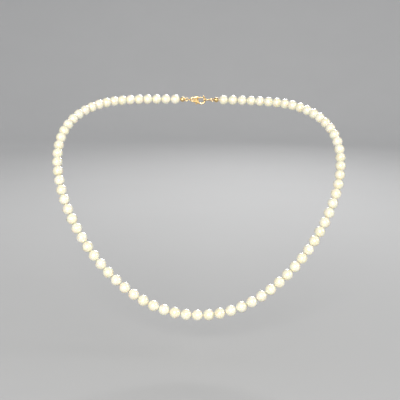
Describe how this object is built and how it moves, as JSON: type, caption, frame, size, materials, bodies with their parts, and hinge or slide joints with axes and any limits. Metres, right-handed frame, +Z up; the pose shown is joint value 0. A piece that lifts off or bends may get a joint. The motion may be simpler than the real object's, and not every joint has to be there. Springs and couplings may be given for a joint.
{
  "type": "pearl necklace",
  "caption": "Single-strand necklace of matched round pearls on a silk thread, fastened at the nape with bead tips, a ring and a sprung lobster clasp.",
  "frame": {"origin": "middle of the fastened loop, where the neck stands", "axes": "+Z up, +Y towards the nape, +X across the neck, towards the catch ring"},
  "size_m": [0.169, 0.1198, 0.1161],
  "materials": {
    "pearl": "gloss",
    "silk": "satin",
    "gold": "polished",
    "spring_steel": "satin"
  },
  "bodies": {
    "front": {"pearl_centre": "pearl", "thread": "silk"},
    "right_link_01": {"right_pearls_01": "pearl"},
    "right_link_02": {"right_pearls_02": "pearl"},
    "right_link_03": {"right_pearls_03": "pearl"},
    "right_link_04": {"right_pearls_04": "pearl"},
    "right_link_05": {"right_pearls_05": "pearl"},
    "right_link_06": {"right_pearls_06": "pearl"},
    "right_link_07": {"right_pearls_07": "pearl"},
    "right_link_08": {"right_pearls_08": "pearl"},
    "right_link_09": {"right_pearls_09": "pearl"},
    "right_link_10": {"right_pearls_10": "pearl"},
    "right_link_11": {"right_pearls_11": "pearl"},
    "right_link_12": {"right_pearls_12": "pearl"},
    "right_link_13": {"right_pearls_13": "pearl"},
    "right_link_14": {"right_pearls_14": "pearl"},
    "right_link_15": {"right_pearls_15": "pearl"},
    "right_link_16": {"right_pearls_16": "pearl"},
    "right_link_17": {"right_pearls_17": "pearl"},
    "right_link_18": {"right_pearls_18": "pearl"},
    "right_link_19": {"right_pearls_19": "pearl"},
    "right_link_20": {"right_pearls_20": "pearl", "right_bead_tip": "gold", "right_end_knot": "silk"},
    "left_link_01": {"left_pearls_01": "pearl"},
    "left_link_02": {"left_pearls_02": "pearl"},
    "left_link_03": {"left_pearls_03": "pearl"},
    "left_link_04": {"left_pearls_04": "pearl"},
    "left_link_05": {"left_pearls_05": "pearl"},
    "left_link_06": {"left_pearls_06": "pearl"},
    "left_link_07": {"left_pearls_07": "pearl"},
    "left_link_08": {"left_pearls_08": "pearl"},
    "left_link_09": {"left_pearls_09": "pearl"},
    "left_link_10": {"left_pearls_10": "pearl"},
    "left_link_11": {"left_pearls_11": "pearl"},
    "left_link_12": {"left_pearls_12": "pearl"},
    "left_link_13": {"left_pearls_13": "pearl"},
    "left_link_14": {"left_pearls_14": "pearl"},
    "left_link_15": {"left_pearls_15": "pearl"},
    "left_link_16": {"left_pearls_16": "pearl"},
    "left_link_17": {"left_pearls_17": "pearl"},
    "left_link_18": {"left_pearls_18": "pearl"},
    "left_link_19": {"left_pearls_19": "pearl"},
    "left_link_20": {"left_pearls_20": "pearl", "left_bead_tip": "gold", "left_end_knot": "silk"},
    "catch_ring": {"catch_ring": "gold"},
    "jump_ring": {"jump_ring": "gold"},
    "clasp": {"clasp_body": "gold", "clasp_lever_pin": "gold", "clasp_lever_spring": "spring_steel"},
    "lever": {"clasp_lever": "gold"}
  },
  "joints": [
    {"name": "right_strand_open", "type": "hinge", "parent": "front", "child": "right_link_01", "pos_m": [0.00308, -0.05751, -0.05492], "axis": [0, 0, -1], "range_deg": [0, 9], "deforming": ["thread"]},
    {"name": "right_bend_02", "type": "hinge", "parent": "right_link_01", "child": "right_link_02", "pos_m": [0.01524, -0.05763, -0.05301], "axis": [0, 0, -1], "range_deg": [0, 9]},
    {"name": "right_bend_03", "type": "hinge", "parent": "right_link_02", "child": "right_link_03", "pos_m": [0.02676, -0.05716, -0.04871], "axis": [0, 0, -1], "range_deg": [0, 9]},
    {"name": "right_bend_04", "type": "hinge", "parent": "right_link_03", "child": "right_link_04", "pos_m": [0.03726, -0.05561, -0.04247], "axis": [0, 0, -1], "range_deg": [0, 9]},
    {"name": "right_bend_05", "type": "hinge", "parent": "right_link_04", "child": "right_link_05", "pos_m": [0.0467, -0.0529, -0.03504], "axis": [0, 0, -1], "range_deg": [0, 9]},
    {"name": "right_bend_06", "type": "hinge", "parent": "right_link_05", "child": "right_link_06", "pos_m": [0.05512, -0.04907, -0.0269], "axis": [0, 0, -1], "range_deg": [0, 9]},
    {"name": "right_bend_07", "type": "hinge", "parent": "right_link_06", "child": "right_link_07", "pos_m": [0.06249, -0.0445, -0.01816], "axis": [0, 0, -1], "range_deg": [0, 9]},
    {"name": "right_bend_08", "type": "hinge", "parent": "right_link_07", "child": "right_link_08", "pos_m": [0.06883, -0.03957, -0.00881], "axis": [0, 0, -1], "range_deg": [0, 9]},
    {"name": "right_bend_09", "type": "hinge", "parent": "right_link_08", "child": "right_link_09", "pos_m": [0.0741, -0.03431, 0.00101], "axis": [0, 0, -1], "range_deg": [0, 9]},
    {"name": "right_bend_10", "type": "hinge", "parent": "right_link_09", "child": "right_link_10", "pos_m": [0.07812, -0.02824, 0.01095], "axis": [0, 0, -1], "range_deg": [0, 9]},
    {"name": "right_bend_11", "type": "hinge", "parent": "right_link_10", "child": "right_link_11", "pos_m": [0.08066, -0.02095, 0.02054], "axis": [0, 0, -1], "range_deg": [0, 9]},
    {"name": "right_bend_12", "type": "hinge", "parent": "right_link_11", "child": "right_link_12", "pos_m": [0.0815, -0.01245, 0.02941], "axis": [0, 0, -1], "range_deg": [0, 9]},
    {"name": "right_bend_13", "type": "hinge", "parent": "right_link_12", "child": "right_link_13", "pos_m": [0.08034, -0.00307, 0.03728], "axis": [0, 0, -1], "range_deg": [0, 9]},
    {"name": "right_bend_14", "type": "hinge", "parent": "right_link_13", "child": "right_link_14", "pos_m": [0.07686, 0.00677, 0.04379], "axis": [0, 0, -1], "range_deg": [0, 9]},
    {"name": "right_bend_15", "type": "hinge", "parent": "right_link_14", "child": "right_link_15", "pos_m": [0.07132, 0.01659, 0.04873], "axis": [0, 0, -1], "range_deg": [0, 9]},
    {"name": "right_bend_16", "type": "hinge", "parent": "right_link_15", "child": "right_link_16", "pos_m": [0.06422, 0.02607, 0.05211], "axis": [0, 0, -1], "range_deg": [0, 9]},
    {"name": "right_bend_17", "type": "hinge", "parent": "right_link_16", "child": "right_link_17", "pos_m": [0.05593, 0.03497, 0.05402], "axis": [0, 0, -1], "range_deg": [0, 9]},
    {"name": "right_bend_18", "type": "hinge", "parent": "right_link_17", "child": "right_link_18", "pos_m": [0.04655, 0.04291, 0.05482], "axis": [0, 0, -1], "range_deg": [0, 9]},
    {"name": "right_bend_19", "type": "hinge", "parent": "right_link_18", "child": "right_link_19", "pos_m": [0.03613, 0.04947, 0.055], "axis": [0, 0, -1], "range_deg": [0, 9]},
    {"name": "right_bend_20", "type": "hinge", "parent": "right_link_19", "child": "right_link_20", "pos_m": [0.02475, 0.05415, 0.05502], "axis": [0, 0, -1], "range_deg": [0, 9]},
    {"name": "left_strand_open", "type": "hinge", "parent": "front", "child": "left_link_01", "pos_m": [-0.00308, -0.05751, -0.05492], "axis": [0, 0, 1], "range_deg": [0, 9], "deforming": ["thread"]},
    {"name": "left_bend_02", "type": "hinge", "parent": "left_link_01", "child": "left_link_02", "pos_m": [-0.01524, -0.05763, -0.05301], "axis": [0, 0, 1], "range_deg": [0, 9]},
    {"name": "left_bend_03", "type": "hinge", "parent": "left_link_02", "child": "left_link_03", "pos_m": [-0.02676, -0.05716, -0.04871], "axis": [0, 0, 1], "range_deg": [0, 9]},
    {"name": "left_bend_04", "type": "hinge", "parent": "left_link_03", "child": "left_link_04", "pos_m": [-0.03726, -0.05561, -0.04247], "axis": [0, 0, 1], "range_deg": [0, 9]},
    {"name": "left_bend_05", "type": "hinge", "parent": "left_link_04", "child": "left_link_05", "pos_m": [-0.0467, -0.0529, -0.03504], "axis": [0, 0, 1], "range_deg": [0, 9]},
    {"name": "left_bend_06", "type": "hinge", "parent": "left_link_05", "child": "left_link_06", "pos_m": [-0.05512, -0.04907, -0.0269], "axis": [0, 0, 1], "range_deg": [0, 9]},
    {"name": "left_bend_07", "type": "hinge", "parent": "left_link_06", "child": "left_link_07", "pos_m": [-0.06249, -0.0445, -0.01816], "axis": [0, 0, 1], "range_deg": [0, 9]},
    {"name": "left_bend_08", "type": "hinge", "parent": "left_link_07", "child": "left_link_08", "pos_m": [-0.06883, -0.03957, -0.00881], "axis": [0, 0, 1], "range_deg": [0, 9]},
    {"name": "left_bend_09", "type": "hinge", "parent": "left_link_08", "child": "left_link_09", "pos_m": [-0.0741, -0.03431, 0.00101], "axis": [0, 0, 1], "range_deg": [0, 9]},
    {"name": "left_bend_10", "type": "hinge", "parent": "left_link_09", "child": "left_link_10", "pos_m": [-0.07812, -0.02824, 0.01095], "axis": [0, 0, 1], "range_deg": [0, 9]},
    {"name": "left_bend_11", "type": "hinge", "parent": "left_link_10", "child": "left_link_11", "pos_m": [-0.08066, -0.02095, 0.02054], "axis": [0, 0, 1], "range_deg": [0, 9]},
    {"name": "left_bend_12", "type": "hinge", "parent": "left_link_11", "child": "left_link_12", "pos_m": [-0.0815, -0.01245, 0.02941], "axis": [0, 0, 1], "range_deg": [0, 9]},
    {"name": "left_bend_13", "type": "hinge", "parent": "left_link_12", "child": "left_link_13", "pos_m": [-0.08034, -0.00307, 0.03728], "axis": [0, 0, 1], "range_deg": [0, 9]},
    {"name": "left_bend_14", "type": "hinge", "parent": "left_link_13", "child": "left_link_14", "pos_m": [-0.07686, 0.00677, 0.04379], "axis": [0, 0, 1], "range_deg": [0, 9]},
    {"name": "left_bend_15", "type": "hinge", "parent": "left_link_14", "child": "left_link_15", "pos_m": [-0.07132, 0.01659, 0.04873], "axis": [0, 0, 1], "range_deg": [0, 9]},
    {"name": "left_bend_16", "type": "hinge", "parent": "left_link_15", "child": "left_link_16", "pos_m": [-0.06422, 0.02607, 0.05211], "axis": [0, 0, 1], "range_deg": [0, 9]},
    {"name": "left_bend_17", "type": "hinge", "parent": "left_link_16", "child": "left_link_17", "pos_m": [-0.05593, 0.03497, 0.05402], "axis": [0, 0, 1], "range_deg": [0, 9]},
    {"name": "left_bend_18", "type": "hinge", "parent": "left_link_17", "child": "left_link_18", "pos_m": [-0.04655, 0.04291, 0.05482], "axis": [0, 0, 1], "range_deg": [0, 9]},
    {"name": "left_bend_19", "type": "hinge", "parent": "left_link_18", "child": "left_link_19", "pos_m": [-0.03613, 0.04947, 0.055], "axis": [0, 0, 1], "range_deg": [0, 9]},
    {"name": "left_bend_20", "type": "hinge", "parent": "left_link_19", "child": "left_link_20", "pos_m": [-0.02475, 0.05415, 0.05502], "axis": [0, 0, 1], "range_deg": [0, 9]},
    {"name": "catch_ring_swing", "type": "hinge", "parent": "right_link_20", "child": "catch_ring", "pos_m": [0.00825, 0.056, 0.055], "axis": [0, 0, -1], "range_deg": [0, 9]},
    {"name": "jump_ring_swing", "type": "hinge", "parent": "left_link_20", "child": "jump_ring", "pos_m": [-0.00825, 0.056, 0.055], "axis": [0, 0, 1], "range_deg": [0, 9]},
    {"name": "clasp_swing", "type": "hinge", "parent": "jump_ring", "child": "clasp", "pos_m": [-0.00473, 0.056, 0.055], "axis": [0, 0, 1], "range_deg": [0, 9]},
    {"name": "clasp_lever_press", "type": "hinge", "parent": "clasp", "child": "lever", "pos_m": [-0.00153, 0.056, 0.0559], "axis": [0, 1, 0], "range_deg": [0, 25], "stiffness_Nm_per_rad": 0.00015, "springref_deg": -20.05, "deforming": ["clasp_lever_spring"]}
  ],
  "couplings": [
    {"joint": "right_bend_02", "follows": "right_strand_open", "ratio": 1},
    {"joint": "right_bend_03", "follows": "right_strand_open", "ratio": 1},
    {"joint": "right_bend_04", "follows": "right_strand_open", "ratio": 1},
    {"joint": "right_bend_05", "follows": "right_strand_open", "ratio": 1},
    {"joint": "right_bend_06", "follows": "right_strand_open", "ratio": 1},
    {"joint": "right_bend_07", "follows": "right_strand_open", "ratio": 1},
    {"joint": "right_bend_08", "follows": "right_strand_open", "ratio": 1},
    {"joint": "right_bend_09", "follows": "right_strand_open", "ratio": 1},
    {"joint": "right_bend_10", "follows": "right_strand_open", "ratio": 1},
    {"joint": "right_bend_11", "follows": "right_strand_open", "ratio": 1},
    {"joint": "right_bend_12", "follows": "right_strand_open", "ratio": 1},
    {"joint": "right_bend_13", "follows": "right_strand_open", "ratio": 1},
    {"joint": "right_bend_14", "follows": "right_strand_open", "ratio": 1},
    {"joint": "right_bend_15", "follows": "right_strand_open", "ratio": 1},
    {"joint": "right_bend_16", "follows": "right_strand_open", "ratio": 1},
    {"joint": "right_bend_17", "follows": "right_strand_open", "ratio": 1},
    {"joint": "right_bend_18", "follows": "right_strand_open", "ratio": 1},
    {"joint": "right_bend_19", "follows": "right_strand_open", "ratio": 1},
    {"joint": "right_bend_20", "follows": "right_strand_open", "ratio": 1},
    {"joint": "left_bend_02", "follows": "left_strand_open", "ratio": 1},
    {"joint": "left_bend_03", "follows": "left_strand_open", "ratio": 1},
    {"joint": "left_bend_04", "follows": "left_strand_open", "ratio": 1},
    {"joint": "left_bend_05", "follows": "left_strand_open", "ratio": 1},
    {"joint": "left_bend_06", "follows": "left_strand_open", "ratio": 1},
    {"joint": "left_bend_07", "follows": "left_strand_open", "ratio": 1},
    {"joint": "left_bend_08", "follows": "left_strand_open", "ratio": 1},
    {"joint": "left_bend_09", "follows": "left_strand_open", "ratio": 1},
    {"joint": "left_bend_10", "follows": "left_strand_open", "ratio": 1},
    {"joint": "left_bend_11", "follows": "left_strand_open", "ratio": 1},
    {"joint": "left_bend_12", "follows": "left_strand_open", "ratio": 1},
    {"joint": "left_bend_13", "follows": "left_strand_open", "ratio": 1},
    {"joint": "left_bend_14", "follows": "left_strand_open", "ratio": 1},
    {"joint": "left_bend_15", "follows": "left_strand_open", "ratio": 1},
    {"joint": "left_bend_16", "follows": "left_strand_open", "ratio": 1},
    {"joint": "left_bend_17", "follows": "left_strand_open", "ratio": 1},
    {"joint": "left_bend_18", "follows": "left_strand_open", "ratio": 1},
    {"joint": "left_bend_19", "follows": "left_strand_open", "ratio": 1},
    {"joint": "left_bend_20", "follows": "left_strand_open", "ratio": 1},
    {"joint": "catch_ring_swing", "follows": "right_strand_open", "ratio": 1},
    {"joint": "jump_ring_swing", "follows": "left_strand_open", "ratio": 1},
    {"joint": "clasp_swing", "follows": "left_strand_open", "ratio": 1}
  ]
}
